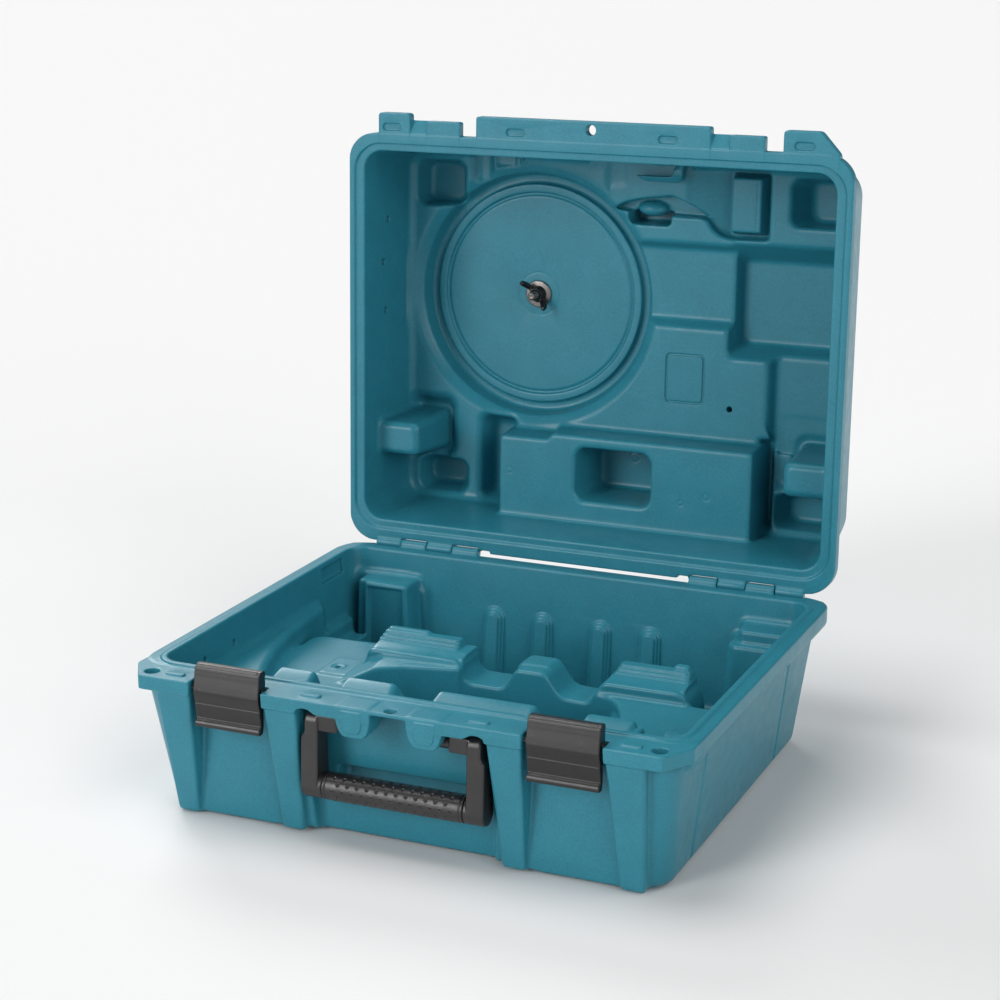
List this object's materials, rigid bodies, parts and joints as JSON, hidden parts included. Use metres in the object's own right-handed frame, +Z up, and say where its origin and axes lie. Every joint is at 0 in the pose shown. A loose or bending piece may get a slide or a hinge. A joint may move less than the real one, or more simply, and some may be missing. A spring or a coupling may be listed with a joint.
{
  "type": "hard tool case",
  "caption": "Hard plastic tool case with a hinged lid, snap latches, a folding carry handle, a moulded nest and a blade holder in the lid.",
  "frame": {"origin": "middle of the base's bottom face, on the floor, halfway between the rim's front and rear edges", "axes": "+Z up, front with latches and handle to -Y, +X to the right seen from the front"},
  "size_m": [0.47, 0.5289, 0.5221],
  "materials": {
    "shell": "fine matt grain",
    "grey_plastic": "fine matt grain",
    "black_plastic": "matt",
    "steel": "zinc plated"
  },
  "bodies": {
    "base": {"base_outer_wall": "shell", "base_inner_wall": "shell", "hinge_pin_left": "steel", "hinge_pin_right": "steel", "latch_pin_left": "steel", "latch_pin_right": "steel"},
    "lid": {"lid_outer_wall": "shell", "lid_inner_wall": "shell", "blade_stud": "steel"},
    "latch_l": {"latch_left": "grey_plastic"},
    "latch_r": {"latch_right": "grey_plastic"},
    "handle": {"handle_frame": "grey_plastic", "handle_grip": "grey_plastic"},
    "washer": {"blade_washer": "steel"},
    "nut": {"wing_nut": "black_plastic"}
  },
  "joints": [
    {"name": "lid_hinge", "type": "hinge", "parent": "base", "child": "lid", "pos_m": [0, 0.2002, 0.12283], "axis": [1, 0, 0], "range_deg": [0, 92.1]},
    {"name": "latch_left_hinge", "type": "hinge", "parent": "base", "child": "latch_l", "pos_m": [-0.14, -0.1903, 0.115], "axis": [1, 0, 0], "range_deg": [0, 32]},
    {"name": "latch_right_hinge", "type": "hinge", "parent": "base", "child": "latch_r", "pos_m": [0.142, -0.1903, 0.115], "axis": [1, 0, 0], "range_deg": [0, 32]},
    {"name": "handle_hinge", "type": "hinge", "parent": "base", "child": "handle", "pos_m": [0, -0.1843, 0.101], "axis": [-1, 0, 0], "range_deg": [0, 90]},
    {"name": "washer_slide", "type": "slide", "parent": "lid", "child": "washer", "axis": [0, -0.9993, 0.0366], "range_m": [0, 0.005]},
    {"name": "wing_nut_spin", "type": "hinge", "parent": "washer", "child": "nut", "pos_m": [-0.0875, 0.30124, 0.34928], "axis": [0, -0.9993, 0.0366], "range_deg": [0, 1440]}
  ],
  "couplings": [
    {"joint": "wing_nut_spin", "follows": "washer_slide", "rad_per_m": 5026.5}
  ]
}
